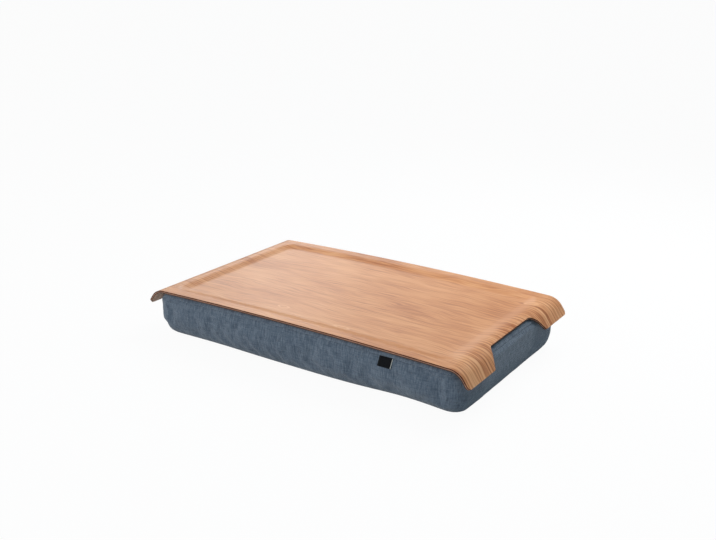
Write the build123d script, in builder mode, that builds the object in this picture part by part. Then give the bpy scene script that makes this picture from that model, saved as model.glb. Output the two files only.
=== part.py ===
from build123d import *
import os
from math import asin, cos, degrees, pi, radians, sin, sqrt, tan

# Lap tray on a bead-filled cushion. Millimetres, +Z up, +X along the length, -Y is the front.
# The origin is the middle of the cushion's foot, on the surface that the object stands on.

# Pressed tray
tray_depth = 280.0
curl_start = 210.3
tray_height = 64.0
bow_rise = 3.2
curl_radius = 23.75
curl_angle = 55.5
lip_run = 11.8
lip_corner = 6.0

# Veneers, from the face down
face_thickness = 0.7
upper_cross_thickness = 0.6
core_thickness = 0.9
lower_cross_thickness = 0.6
backing_thickness = 0.6

# Pressed-in recess of the tray
border_width = 16.0
end_border_width = 7.3
slope_run = 9.5
recess_depth = 3.5
recess_corner_blend = 42.0

# Hand notch at each end
notch_bite = 17.3
notch_inner_width = 110.6
notch_mouth_width = 149.2
notch_inner_corner = 10.0
notch_mouth_corner = 4.0

# Hook strips under the tray, loop strips on the cushion
strip_length = 340.0
strip_width = 25.0
strip_spacing = 140.0
hook_thickness = 1.2
loop_thickness = 1.4
strip_clearance = 0.3

# Cushion cover
end_setback = 10.2
side_setback = 1.2
cushion_corner = 20.0
girth_height = 29.3
foot_inset_end = 10.5
foot_inset_side = 21.0
foot_draw_in = 2.5
foot_rise_shares = (0, 0.04, 0.14, 0.32, 0.6, 1)
end_shoulder_radius = 16.0
side_shoulder_radius = 6.0
shoulder_proud = 0.8
cloth = 1.5
tray_ease = 0.5
lower_seam_height = 4.0
upper_seam_drop = 5.5

# Lining bag and its filling
lining = 0.6
bag_ease = 0.3

# Zip in the back of the cover
zip_rise = 12.6
zip_end_setback = 40.0
zip_opening_width = 7.0
tape_thickness = 0.6
tape_width = 10.0
tape_end_margin = 6.0
chain_end_margin = 7.0
chain_gap = 1.2
chain_thickness = 1.8
tooth_reach = 1.5
tooth_width = 1.5
tooth_pitch = 2.5
spine_width = 0.9
stop_length = 2.0
stop_clearance = 0.4
slider_length = 12.0
slider_width = 9.0
slider_plate = 1.1
slider_clearance = 0.2
slider_post_width = 0.8
slider_post_length = 3.0
slider_corner = 1.5
bridge_height = 2.6
bridge_width = 1.6
bridge_thickness = 0.8
pull_length = 19.0
pull_width = 5.0
pull_thickness = 0.9
pull_clearance = 0.3
pull_arm_width = 0.9
pull_corner = 1.2
zip_dent_clearance = 0.5

# Folded label in the upper front seam
label_place = 130.5
label_width = 17.5
label_drop = 12.5
label_tilt = 29.0
label_layer = 0.45
label_fold_gap = 0.3
label_root = 2.0

# One overrun for cuts that run past a face
overrun = 3.0

# Sizes that follow from the ones above
ply_thickness = (face_thickness + upper_cross_thickness + core_thickness
                 + lower_cross_thickness + backing_thickness)
bow_radius = (curl_start ** 2 + bow_rise ** 2) / (2 * bow_rise)
bow_centre = tray_height + bow_rise - bow_radius
bow_angle = asin(curl_start / bow_radius)
curl_end = radians(curl_angle)
crest_half_depth = tray_depth / 2 - border_width
crest_half_length = curl_start - end_border_width
slope_half_angle = asin(recess_depth / sqrt(recess_depth ** 2 + slope_run ** 2)) / 2
strip_drop = ply_thickness + recess_depth
lip_reach = ((bow_radius - curl_radius) * sin(bow_angle) + curl_radius * sin(curl_end)
             + lip_run * cos(curl_end))
cushion_length = 2 * (lip_reach - end_setback)
cushion_depth = tray_depth - 2 * side_setback
cushion_top_drop = ply_thickness + tray_ease
cushion_dish_depth = strip_drop + hook_thickness + strip_clearance + loop_thickness - cushion_top_drop
back_wall = cushion_depth / 2
back_seam = cushion_length / 2 - cushion_corner
zip_height = girth_height + zip_rise
zip_opening = 2 * (back_seam - zip_end_setback)
chain_length = zip_opening - 2 * chain_end_margin
tape_face = back_wall - cloth
slider_back = tape_face - tape_thickness - slider_clearance - slider_plate
chain_face = tape_face + chain_thickness
slider_seat = chain_face + slider_clearance
slider_face = slider_seat + slider_plate
slider_place = chain_length / 2 - stop_clearance - slider_length / 2
pull_axis_y = slider_face + pull_clearance + pull_thickness / 2
seam_drop = cushion_top_drop + upper_seam_drop


def bow_point(along, drop):
    """Point (x, z) on the bowed surface that lies drop below the tray's upper face, at x = along."""
    return along, bow_centre + sqrt((bow_radius - drop) ** 2 - along ** 2)


def curl_point(angle, drop, side):
    """Point (x, z) on an end curl, where the surface has turned down by angle."""
    centre_x = (bow_radius - curl_radius) * sin(bow_angle)
    centre_z = bow_centre + (bow_radius - curl_radius) * cos(bow_angle)
    radius = curl_radius - drop
    return side * (centre_x + radius * sin(angle)), centre_z + radius * cos(angle)


def lip_point(drop, side):
    """Point (x, z) at the free edge of the straight lip that ends a curl."""
    x, z = curl_point(curl_end, drop, side)
    return x + side * lip_run * cos(curl_end), z - lip_run * sin(curl_end)


def tray_line(drop):
    """Side view of the bowed and curled surface, from the left lip to the right one."""
    middle_turn = (bow_angle + curl_end) / 2
    Line(lip_point(drop, -1), curl_point(curl_end, drop, -1))
    ThreePointArc(curl_point(curl_end, drop, -1), curl_point(middle_turn, drop, -1),
                  curl_point(bow_angle, drop, -1))
    ThreePointArc(curl_point(bow_angle, drop, -1), bow_point(0, drop), curl_point(bow_angle, drop, 1))
    ThreePointArc(curl_point(bow_angle, drop, 1), curl_point(middle_turn, drop, 1),
                  curl_point(curl_end, drop, 1))
    Line(curl_point(curl_end, drop, 1), lip_point(drop, 1))


def radial_plane(angle):
    """Plane through the bow's axis, turned by angle from upright; its local y points away from the axis."""
    return Plane(origin=(0, 0, bow_centre), x_dir=(0, 1, 0), z_dir=(cos(angle), 0, -sin(angle)))


def recess_void(drop, depth):
    """What a recess takes out of the surface that lies drop below the tray's upper face."""
    spread = drop * tan(slope_half_angle)
    rise_per_run = recess_depth / slope_run
    floor_drop = drop + depth
    spill_drop = drop - overrun
    spill_run = (depth + overrun) / rise_per_run
    floor_y = crest_half_depth - depth / rise_per_run + spread
    floor_x = crest_half_length - depth / rise_per_run + spread
    sweep_angle = asin((floor_x + spill_run + overrun) / (bow_radius - floor_drop))
    end_floor = bow_point(floor_x, floor_drop)
    end_spill = bow_point(floor_x + spill_run, spill_drop)
    below = bow_point(floor_x - spill_run, floor_drop + overrun + depth)
    with BuildPart() as void:
        with BuildSketch(radial_plane(-sweep_angle)):
            with BuildLine():
                Polyline((-floor_y, bow_radius - floor_drop), (floor_y, bow_radius - floor_drop),
                         (floor_y + spill_run, bow_radius - spill_drop),
                         (-floor_y - spill_run, bow_radius - spill_drop), close=True)
            make_face()
        revolve(axis=Axis((0, 0, bow_centre), (0, 1, 0)), revolution_arc=degrees(2 * sweep_angle))
        with BuildSketch(Plane.XZ):
            with BuildLine():
                right = [below, end_floor, end_spill, (end_spill[0], tray_height + curl_radius)]
                left = [(-x, z) for x, z in reversed(right)]
                Polyline(*right, *left, close=True)
            make_face()
        extrude(amount=tray_depth, both=True, mode=Mode.INTERSECT)
        corners = void.edges().filter_by(lambda edge: abs((edge @ 0).Z - (edge @ 1).Z) > depth)
        fillet(corners, recess_corner_blend)
    return void.part


def half_way(first, second):
    """Point half way between two points."""
    return tuple((a + b) / 2 for a, b in zip(first, second))


def pressed_blank(drop):
    """Everything between the surface that lies drop below the face and one common inner surface."""
    inner_drop = ply_thickness + recess_depth + overrun
    flare = (notch_mouth_width - notch_inner_width) / 2 / notch_bite
    notch_edge = lip_reach - notch_bite
    past_lip = lip_reach + overrun
    past_half_width = notch_mouth_width / 2 + flare * overrun
    with BuildPart() as blank:
        with BuildSketch(Plane.XZ):
            with BuildLine():
                tray_line(drop)
                tray_line(inner_drop)
                Line(lip_point(drop, -1), lip_point(inner_drop, -1))
                Line(lip_point(drop, 1), lip_point(inner_drop, 1))
            make_face()
        extrude(amount=tray_depth / 2, both=True)
        outer_corners = []
        for side in (-1, 1):
            x, z = half_way(lip_point(drop, side), lip_point(inner_drop, side))
            for front in (-1, 1):
                outer_corners += blank.edges().sort_by_distance((x, front * tray_depth / 2, z))[:1]
        fillet(outer_corners, lip_corner)
        with BuildSketch(Plane.XY) as notch:
            with BuildLine():
                Polyline((notch_edge, -notch_inner_width / 2), (notch_edge, notch_inner_width / 2),
                         (past_lip, past_half_width), (past_lip, -past_half_width), close=True)
            make_face()
            fillet(notch.vertices().group_by(Axis.X)[0], notch_inner_corner)
            mirror(about=Plane.YZ)
        extrude(amount=tray_height + curl_radius, mode=Mode.SUBTRACT)
        mouth_corners = []
        for side in (-1, 1):
            outer, inner = lip_point(drop, side), lip_point(inner_drop, side)
            x, z = half_way(outer, inner)
            y = notch_inner_width / 2 + flare * (abs(x) - notch_edge)
            for front in (-1, 1):
                mouth_corners += blank.edges().sort_by_distance((x, front * y, z))[:1]
        fillet(mouth_corners, notch_mouth_corner)
        add(recess_void(drop, recess_depth), mode=Mode.SUBTRACT)
    return blank.part


def bowed_strip(upper_drop, thickness, place):
    """Strip that lies along the bow, with its upper face upper_drop below the tray's upper face."""
    half = strip_length / 2
    upper = [bow_point(along, upper_drop) for along in (-half, 0, half)]
    lower = [bow_point(along, upper_drop + thickness) for along in (-half, 0, half)]
    with BuildPart() as strip:
        with BuildSketch(Plane.XZ.offset(-place - strip_width / 2)):
            with BuildLine():
                ThreePointArc(*upper)
                ThreePointArc(*lower)
                Line(upper[0], lower[0])
                Line(upper[2], lower[2])
            make_face()
        extrude(amount=strip_width)
    return strip.part


def cushion_outline(half_length, half_depth, corner, draw_in):
    """Plan of the cushion with round corners; its sides are drawn in between them."""
    straight_x = half_length - corner
    straight_y = half_depth - corner
    knee = corner * (1 - sqrt(0.5))
    for side in (-1, 1):
        end_wall = [(side * half_length, -straight_y), (side * (half_length - draw_in), 0),
                    (side * half_length, straight_y)]
        long_wall = [(-straight_x, side * half_depth), (0, side * (half_depth - draw_in)),
                     (straight_x, side * half_depth)]
        for start, middle, end in (end_wall, long_wall):
            if draw_in:
                ThreePointArc(start, middle, end)
            else:
                Line(start, end)
        for front in (-1, 1):
            ThreePointArc((side * half_length, front * straight_y),
                          (side * (half_length - knee), front * (half_depth - knee)),
                          (side * straight_x, front * half_depth))


def cushion_form(inset):
    """Closed form of the cushion, drawn in by inset all round: round foot, upright walls, dished crown."""
    half_length = cushion_length / 2 - inset
    half_depth = cushion_depth / 2 - inset
    corner = cushion_corner - inset
    top_drop = cushion_top_drop + inset
    foot_drop = tray_height + bow_rise + overrun
    end_radius = end_shoulder_radius - inset
    side_radius = side_shoulder_radius - inset
    shoulder_reach = bow_radius - cushion_top_drop - end_shoulder_radius
    shoulder_x = cushion_length / 2 + shoulder_proud - end_shoulder_radius
    shoulder_angle = asin(shoulder_x / shoulder_reach)
    shoulder_z = bow_centre + shoulder_reach * cos(shoulder_angle)
    knee_angle = (shoulder_angle + pi / 2) / 2
    with BuildPart() as form:
        for share in foot_rise_shares:
            pull = 1 - sqrt(1 - (1 - share) ** 2)
            with BuildSketch(Plane.XY.offset(inset + (girth_height - inset) * share)):
                with BuildLine():
                    cushion_outline(half_length - foot_inset_end * pull, half_depth - foot_inset_side * pull,
                                    corner, foot_draw_in * pull)
                make_face()
        loft()
        with BuildSketch(Plane.XY.offset(girth_height)):
            with BuildLine():
                cushion_outline(half_length, half_depth, corner, 0)
            make_face()
        extrude(amount=tray_height + bow_rise - girth_height)
        with BuildSketch(Plane.XZ):
            with BuildLine():
                top_end = (bow_radius - top_drop) * sin(shoulder_angle)
                wall_x = shoulder_x + end_radius
                ThreePointArc(*[bow_point(along, top_drop) for along in (-top_end, 0, top_end)])
                for side in (-1, 1):
                    ThreePointArc(bow_point(side * top_end, top_drop),
                                  (side * (shoulder_x + end_radius * sin(knee_angle)),
                                   shoulder_z + end_radius * cos(knee_angle)),
                                  (side * wall_x, shoulder_z))
                    Line((side * wall_x, shoulder_z), (side * wall_x, -overrun))
                Line((-wall_x, -overrun), (wall_x, -overrun))
            make_face()
        extrude(amount=cushion_depth, both=True, mode=Mode.INTERSECT)
        sweep_angle = asin((cushion_length / 2 + overrun) / (bow_radius - foot_drop))
        shoulder_y = cushion_depth / 2 + shoulder_proud - side_shoulder_radius
        wall_y = shoulder_y + side_radius
        top_level = bow_radius - top_drop
        shoulder_level = top_level - side_radius
        foot_level = bow_radius - foot_drop
        half_turn = side_radius * sqrt(0.5)
        with BuildSketch(radial_plane(-sweep_angle)):
            with BuildLine():
                Line((-shoulder_y, top_level), (shoulder_y, top_level))
                for side in (-1, 1):
                    ThreePointArc((side * shoulder_y, top_level),
                                  (side * (shoulder_y + half_turn), shoulder_level + half_turn),
                                  (side * wall_y, shoulder_level))
                    Line((side * wall_y, shoulder_level), (side * wall_y, foot_level))
                Line((-wall_y, foot_level), (wall_y, foot_level))
            make_face()
        revolve(axis=Axis((0, 0, bow_centre), (0, 1, 0)), revolution_arc=degrees(2 * sweep_angle),
                mode=Mode.INTERSECT)
        add(recess_void(top_drop, cushion_dish_depth), mode=Mode.SUBTRACT)
    return form.part


def bag_form(inset):
    """Form of the lining bag, dented at the back where the zip is; inset is from the bag's outer face."""
    dent_length = zip_opening + 2 * tape_end_margin + 2 * zip_dent_clearance + 2 * inset
    dent_height = chain_gap + 2 * tape_width + 2 * zip_dent_clearance + 2 * inset
    dent_face = slider_back - zip_dent_clearance - inset
    with BuildPart() as bag:
        add(cushion_form(cloth + bag_ease + inset))
        with Locations((0, dent_face, zip_height)):
            Box(dent_length, back_wall, dent_height, align=(Align.CENTER, Align.MIN, Align.CENTER),
                mode=Mode.SUBTRACT)
    return bag.part


def upright_plate(centre_x, centre_z, outer_y, length, height, thickness, corner):
    """Flat plate that stands parallel to the back wall, with round corners and its outer face at outer_y."""
    with BuildPart() as plate:
        with BuildSketch(Plane.XZ.offset(-outer_y)):
            with Locations((centre_x, centre_z)):
                RectangleRounded(length, height, corner)
        extrude(amount=thickness)
    return plate.part


os.makedirs("parts", exist_ok=True)

# Pressed tray
# Five veneers, glued and pressed to one curved shell. Each one is what lies between two parallel blanks.
veneers = {
    "face_veneer": face_thickness,
    "upper_cross_veneer": upper_cross_thickness,
    "core_veneer": core_thickness,
    "lower_cross_veneer": lower_cross_thickness,
    "backing_veneer": backing_thickness,
}
drops = [0.0]
for thickness in veneers.values():
    drops.append(drops[-1] + thickness)
blanks = [pressed_blank(drop) for drop in drops]
for name, upper, lower in zip(veneers, blanks, blanks[1:]):
    with BuildPart() as veneer:
        add(upper)
        add(lower, mode=Mode.SUBTRACT)
    veneer.part.label = name
    export_step(veneer.part, f"parts/{name}.step")

# Hook strips and loop strips
# Two hook strips are glued under the recess, two loop strips are sewn on the cushion's dish below them.
for name, drop, thickness in (("hook_strip", strip_drop, hook_thickness),
                              ("loop_strip", strip_drop + hook_thickness + strip_clearance, loop_thickness)):
    for place, side in (("front", -1), ("back", 1)):
        with BuildPart() as strip:
            add(bowed_strip(drop, thickness, side * strip_spacing / 2))
        strip.part.label = f"{name}_{place}"
        export_step(strip.part, f"parts/{name}_{place}.step")

# Cushion cover
# One sewn skin: foot panel, top panel, a band round the front and both ends, and the zip strip at the back.
with BuildPart() as cover:
    add(cushion_form(0))
    add(cushion_form(cloth), mode=Mode.SUBTRACT)

with BuildPart() as lower_zone:
    with Locations((0, 0, lower_seam_height)):
        Box(2 * cushion_length, 2 * cushion_depth, girth_height,
            align=(Align.CENTER, Align.CENTER, Align.MAX))

with BuildPart() as upper_zone:
    with BuildSketch(Plane.XZ):
        with BuildLine():
            past_end = cushion_length / 2 + overrun
            past_top = tray_height + curl_radius
            seam_start, seam_middle, seam_end = [bow_point(x, seam_drop) for x in (-past_end, 0, past_end)]
            ThreePointArc(seam_start, seam_middle, seam_end)
            Polyline(seam_start, (-past_end, past_top), (past_end, past_top), seam_end)
        make_face()
    extrude(amount=cushion_depth, both=True)
    with Locations((0, 0, girth_height)):
        Box(2 * crest_half_length, 2 * crest_half_depth, tray_height,
            align=(Align.CENTER, Align.CENTER, Align.MIN))

with BuildPart() as back_zone:
    Box(2 * back_seam, cushion_depth, 2 * (tray_height + bow_rise),
        align=(Align.CENTER, Align.MIN, Align.CENTER))

with BuildPart() as bottom_panel:
    add(cover.part)
    add(lower_zone.part, mode=Mode.INTERSECT)
bottom_panel.part.label = "bottom_panel"
export_step(bottom_panel.part, "parts/bottom_panel.step")

with BuildPart() as top_panel:
    add(cover.part)
    add(upper_zone.part, mode=Mode.INTERSECT)
top_panel.part.label = "top_panel"
export_step(top_panel.part, "parts/top_panel.step")

with BuildPart() as wall:
    add(cover.part)
    add(lower_zone.part, mode=Mode.SUBTRACT)
    add(upper_zone.part, mode=Mode.SUBTRACT)

with BuildPart() as side_band:
    add(wall.part)
    add(back_zone.part, mode=Mode.SUBTRACT)
side_band.part.label = "side_band"
export_step(side_band.part, "parts/side_band.step")

for name, half in (("back_band_upper", Align.MIN), ("back_band_lower", Align.MAX)):
    with BuildPart() as band:
        add(wall.part)
        add(back_zone.part, mode=Mode.INTERSECT)
        with Locations((0, back_wall, zip_height)):
            Box(cushion_length, cushion_depth, 2 * tray_height, align=(Align.CENTER, Align.CENTER, half),
                mode=Mode.INTERSECT)
            Box(zip_opening, cushion_depth, zip_opening_width, mode=Mode.SUBTRACT)
    band.part.label = name
    export_step(band.part, f"parts/{name}.step")

# Lining bag with its filling of beads
with BuildPart() as lining_bag:
    add(bag_form(0))
    add(bag_form(lining), mode=Mode.SUBTRACT)
lining_bag.part.label = "lining_bag"
export_step(lining_bag.part, "parts/lining_bag.step")

with BuildPart() as bead_filling:
    add(bag_form(lining + bag_ease))
bead_filling.part.label = "bead_filling"
export_step(bead_filling.part, "parts/bead_filling.step")

# Zip
# A tape and a row of teeth on each side of the opening, with stops at both ends of the rows.
tooth_count = int(chain_length / tooth_pitch)
row_height = tooth_reach + spine_width
for place, side in (("upper", 1), ("lower", -1)):
    tape_middle = zip_height + side * (chain_gap / 2 + tape_width / 2)
    with BuildPart() as zip_tape:
        with Locations((0, tape_face, tape_middle)):
            Box(zip_opening + 2 * tape_end_margin, tape_thickness, tape_width,
                align=(Align.CENTER, Align.MAX, Align.CENTER))
    zip_tape.part.label = f"zip_tape_{place}"
    export_step(zip_tape.part, f"parts/zip_tape_{place}.step")

    with BuildPart() as zip_row:
        with BuildSketch(Plane.XZ.offset(-chain_face)):
            with Locations((0, zip_height + side * (chain_gap / 2 + tooth_reach + spine_width / 2))):
                Rectangle(chain_length, spine_width)
            with Locations((0, zip_height + side * (chain_gap / 2 + row_height / 2))):
                with GridLocations(tooth_pitch, row_height, tooth_count, 1):
                    Rectangle(tooth_width, row_height)
        extrude(amount=chain_thickness)
    zip_row.part.label = f"zip_row_{place}"
    export_step(zip_row.part, f"parts/zip_row_{place}.step")

stop_height = chain_thickness + slider_clearance + slider_plate / 2
with BuildPart() as zip_top_stops:
    for side in (-1, 1):
        with Locations((chain_length / 2, tape_face, zip_height + side * (chain_gap / 2 + row_height / 2))):
            Box(stop_length, stop_height, row_height, align=(Align.MIN, Align.MIN, Align.CENTER))
zip_top_stops.part.label = "zip_top_stops"
export_step(zip_top_stops.part, "parts/zip_top_stops.step")

with BuildPart() as zip_bottom_stop:
    with Locations((-chain_length / 2, tape_face, zip_height)):
        Box(stop_length, stop_height, chain_gap + 2 * row_height, align=(Align.MAX, Align.MIN, Align.CENTER))
zip_bottom_stop.part.label = "zip_bottom_stop"
export_step(zip_bottom_stop.part, "parts/zip_bottom_stop.step")

# Zip slider
# Two plates on a post that runs between the rows, with a bridge that holds the pull.
with BuildPart() as zip_slider:
    add(upright_plate(slider_place, zip_height, slider_face, slider_length, slider_width, slider_plate,
                      slider_corner))
    add(upright_plate(slider_place, zip_height, slider_back + slider_plate, slider_length, zip_opening_width,
                      slider_plate, slider_corner))
    with Locations((slider_place, slider_back, zip_height)):
        Box(slider_post_length, slider_face - slider_back, slider_post_width,
            align=(Align.CENTER, Align.MIN, Align.CENTER))
    bridge_length = slider_length - 2 * slider_corner
    with Locations((slider_place, slider_face, zip_height)):
        Box(bridge_length, bridge_height, bridge_width, align=(Align.CENTER, Align.MIN, Align.CENTER))
        Box(bridge_length - 2 * bridge_thickness, bridge_height - bridge_thickness, bridge_width,
            align=(Align.CENTER, Align.MIN, Align.CENTER), mode=Mode.SUBTRACT)
zip_slider.part.label = "zip_slider"
export_step(zip_slider.part, "parts/zip_slider.step")

# Zip pull
# A flat tab on two arms, with a pin across them that turns under the bridge.
with BuildPart() as zip_pull:
    arm_place = bridge_width / 2 + pull_clearance + pull_arm_width / 2
    arm_length = bridge_length / 2 + 2 * pull_clearance + pull_arm_width
    tab_length = pull_length - arm_length + pull_arm_width
    pin_length = 2 * arm_place + pull_arm_width
    with Locations(Location((slider_place, pull_axis_y, zip_height))):
        Cylinder(pull_thickness / 2, pin_length)
    for side in (-1, 1):
        with Locations((slider_place + pull_thickness / 2, pull_axis_y, zip_height + side * arm_place)):
            Box(arm_length + pull_thickness / 2, pull_thickness, pull_arm_width,
                align=(Align.MAX, Align.CENTER, Align.CENTER))
    add(upright_plate(slider_place - pull_length + tab_length / 2, zip_height,
                      pull_axis_y + pull_thickness / 2, tab_length, pull_width, pull_thickness, pull_corner))
zip_pull.part.label = "zip_pull"
export_step(zip_pull.part, "parts/zip_pull.step")

# Label
# A short ribbon, folded in two, whose ends are caught in the upper front seam.
with BuildPart() as label:
    ribbon = 2 * label_layer + label_fold_gap
    tilt = radians(label_tilt)
    down = Vector(-sin(tilt), -cos(tilt))
    outward = Vector(-cos(tilt), sin(tilt))
    seam = Vector(-back_wall, bow_point(label_place, seam_drop)[1])
    bend = seam + Vector(0, -label_root)
    fold = bend + down * (label_drop - label_root)
    with BuildSketch(Plane.YZ.offset(label_place - label_width / 2)):
        with BuildLine():
            outer_bend = bend + Vector(-ribbon, ribbon * tan(tilt / 2))
            Polyline(seam, bend, fold, fold + outward * ribbon, outer_bend, seam + Vector(-ribbon, 0),
                     close=True)
        make_face()
        with BuildLine():
            slit_start = bend + outward * label_layer + down * label_layer
            slit_end = fold + outward * label_layer - down * label_layer
            Polyline(slit_start, slit_end, slit_end + outward * label_fold_gap,
                     slit_start + outward * label_fold_gap, close=True)
        make_face(mode=Mode.SUBTRACT)
    extrude(amount=label_width)
label.part.label = "label"
export_step(label.part, "parts/label.step")
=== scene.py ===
import bmesh
import bpy
from math import asin, cos, exp, hypot, pi, radians, sin, sqrt, tan
from mathutils import Matrix, Vector, noise


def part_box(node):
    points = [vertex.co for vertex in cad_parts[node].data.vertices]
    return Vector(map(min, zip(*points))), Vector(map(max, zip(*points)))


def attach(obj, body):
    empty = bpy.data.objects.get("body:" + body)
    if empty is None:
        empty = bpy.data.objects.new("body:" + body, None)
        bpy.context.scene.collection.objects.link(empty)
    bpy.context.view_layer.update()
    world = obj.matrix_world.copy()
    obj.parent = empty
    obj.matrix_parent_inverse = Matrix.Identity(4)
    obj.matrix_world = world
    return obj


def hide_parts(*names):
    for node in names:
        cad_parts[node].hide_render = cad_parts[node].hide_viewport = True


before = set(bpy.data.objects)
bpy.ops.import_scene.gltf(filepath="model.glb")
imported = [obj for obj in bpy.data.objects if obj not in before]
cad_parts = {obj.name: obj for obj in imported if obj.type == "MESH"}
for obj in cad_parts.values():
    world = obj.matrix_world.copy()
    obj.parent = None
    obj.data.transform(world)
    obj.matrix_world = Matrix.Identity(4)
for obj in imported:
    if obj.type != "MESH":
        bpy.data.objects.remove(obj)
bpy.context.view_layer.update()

# Camera
# It stands where the photograph was taken from: a metre and a half away, to the right of the front and a little
# above the tray, with a 48 mm lens. The part lies left of the point that it aims at.
azimuth, elevation, roll = radians(32.626), radians(18.711), radians(1.003)
aim, distance = Vector((-0.15452, 0.24418, -0.002)), 1.54003
film_width, picture_width, focal_length = 36, 716, 953.11
back = Vector((sin(azimuth) * cos(elevation), -cos(azimuth) * cos(elevation), sin(elevation)))
right = Vector((0, 0, 1)).cross(back).normalized()
up = back.cross(right)
across = right * cos(roll) + up * sin(roll)
upright = up * cos(roll) - right * sin(roll)
camera = bpy.data.objects.new("camera", bpy.data.cameras.new("camera"))
bpy.context.scene.collection.objects.link(camera)
turned = Matrix((across, upright, back)).transposed().to_4x4()
camera.matrix_world = Matrix.Translation(aim + back * distance) @ turned
camera.data.sensor_width = film_width
camera.data.lens = focal_length / picture_width * film_width
bpy.context.scene.camera = camera
bpy.context.scene.view_settings.view_transform = "Standard"


# Floor and light
# A white sheet of paper under the part, and a white surround that is dimmer and bluer at the right. One soft lamp
# hangs over the part and one stands at the front left. The lacquer mirrors a window at the back left.
class Value:
    """One output of a shader node. Arithmetic on it adds Math nodes."""

    def __init__(self, shader, socket):
        self.shader = shader
        self.socket = socket

    def output(self, name):
        return Value(self.shader, self.socket.node.outputs[name])

    def math(self, operation, *others):
        sockets = dict(enumerate((self,) + others))
        return self.shader.node("ShaderNodeMath", {"operation": operation}, sockets)

    def __add__(self, other):
        return self.math("ADD", other)

    def __radd__(self, other):
        return self.math("ADD", other)

    def __sub__(self, other):
        return self.math("SUBTRACT", other)

    def __rsub__(self, other):
        return self.math("MULTIPLY_ADD", -1, other)

    def __mul__(self, other):
        return self.math("MULTIPLY", other)

    def __rmul__(self, other):
        return self.math("MULTIPLY", other)

    def __truediv__(self, other):
        return self.math("DIVIDE", other)

    def __pow__(self, other):
        return self.math("POWER", other)


class Shader:
    """A node tree. Its node method adds one shader node and returns that node's first output."""

    def __init__(self, tree):
        self.tree = tree

    def node(self, kind, settings=None, sockets=None):
        made = self.tree.nodes.new(kind)
        for name, value in (settings or {}).items():
            if name == "stops":
                ramp = made.color_ramp.elements
                while len(ramp) < len(value):
                    ramp.new(1)
                for stop, (place, colour) in zip(ramp, value):
                    stop.position = place
                    stop.color = (*colour, 1)
            else:
                setattr(made, name, value)
        for name, value in (sockets or {}).items():
            if isinstance(name, int):
                socket = made.inputs[name]
            else:
                socket = [s for s in made.inputs if s.enabled and s.name == name][0]
            if isinstance(value, Value):
                self.tree.links.new(value.socket, socket)
            elif socket.type == "RGBA":
                socket.default_value = (*value, 1)
            else:
                socket.default_value = value
        return Value(self, [s for s in made.outputs if s.enabled][0])

    def mixed(self, share, first, second):
        """Colour between first, at a share of 0, and second, at 1."""
        return self.node("ShaderNodeMix", {"data_type": "RGBA"}, {"Factor": share, "A": first, "B": second})

    def ramp(self, value, low, high, bottom=0.0, top=1.0):
        """Smooth rise from bottom, where value is low, to top, where it is high."""
        return self.node("ShaderNodeMapRange", {"interpolation_type": "SMOOTHSTEP"},
                         {"Value": value, "From Min": low, "From Max": high, "To Min": bottom, "To Max": top})

    def axes(self, vector):
        """The x, y and z of a vector."""
        x = self.node("ShaderNodeSeparateXYZ", {}, {0: vector})
        return x, x.output("Y"), x.output("Z")

    def vector(self, x, y, z=0.0):
        return self.node("ShaderNodeCombineXYZ", {}, {0: x, 1: y, 2: z})

    def speckle(self, vector, scale=1.0, detail=2.0, roughness=0.5):
        """Noise of about 0 to 1 over a vector."""
        return self.node("ShaderNodeTexNoise", {}, {"Vector": vector, "Scale": scale, "Detail": detail,
                                                    "Roughness": roughness})

    def show(self, shader, output):
        """Make a shader what the tree's output node shows."""
        self.tree.links.new(shader.socket, self.tree.nodes[output].inputs["Surface"])


class Finish(Shader):
    """A material with a Principled surface."""

    def __init__(self, name, **surface):
        self.material = bpy.data.materials.new(name)
        self.material.use_nodes = True
        super().__init__(self.material.node_tree)
        self.surface = self.tree.nodes["Principled BSDF"]
        for socket, value in surface.items():
            self.surface.inputs[socket.replace("_", " ")].default_value = value

    def bump(self, height, distance, strength=1.0):
        """Relief of this height, distance in metres, on the surface."""
        normal = self.node("ShaderNodeBump", {}, {"Height": height, "Distance": distance, "Strength": strength})
        self.set("Normal", normal)

    def set(self, name, value):
        self.tree.links.new(value.socket, self.surface.inputs[name])


def placed(name, shape, *finishes, smooth=True):
    """Object of a bmesh that already lies where it belongs."""
    mesh = bpy.data.meshes.new(name)
    for face in shape.faces:
        face.smooth = smooth
    shape.to_mesh(mesh)
    shape.free()
    for finish in finishes:
        mesh.materials.append(finish.material)
    piece = bpy.data.objects.new(name, mesh)
    bpy.context.scene.collection.objects.link(piece)
    return piece


paper = Finish("paper", Roughness=0.9, Specular_IOR_Level=0.1, Base_Color=(0.7, 0.72, 0.74, 1))
white = paper.node("ShaderNodeEmission", {}, {"Color": (1, 1, 1), "Strength": 1.0})
seen = paper.node("ShaderNodeLightPath")
matt = Value(paper, paper.surface.outputs[0])
paper.show(paper.node("ShaderNodeMixShader", {}, {0: seen * 0.95, 1: matt, 2: white}), "Material Output")
sheet = bmesh.new()
bmesh.ops.create_grid(sheet, x_segments=1, y_segments=1, size=30)
floor = placed("floor", sheet, paper)

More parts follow.
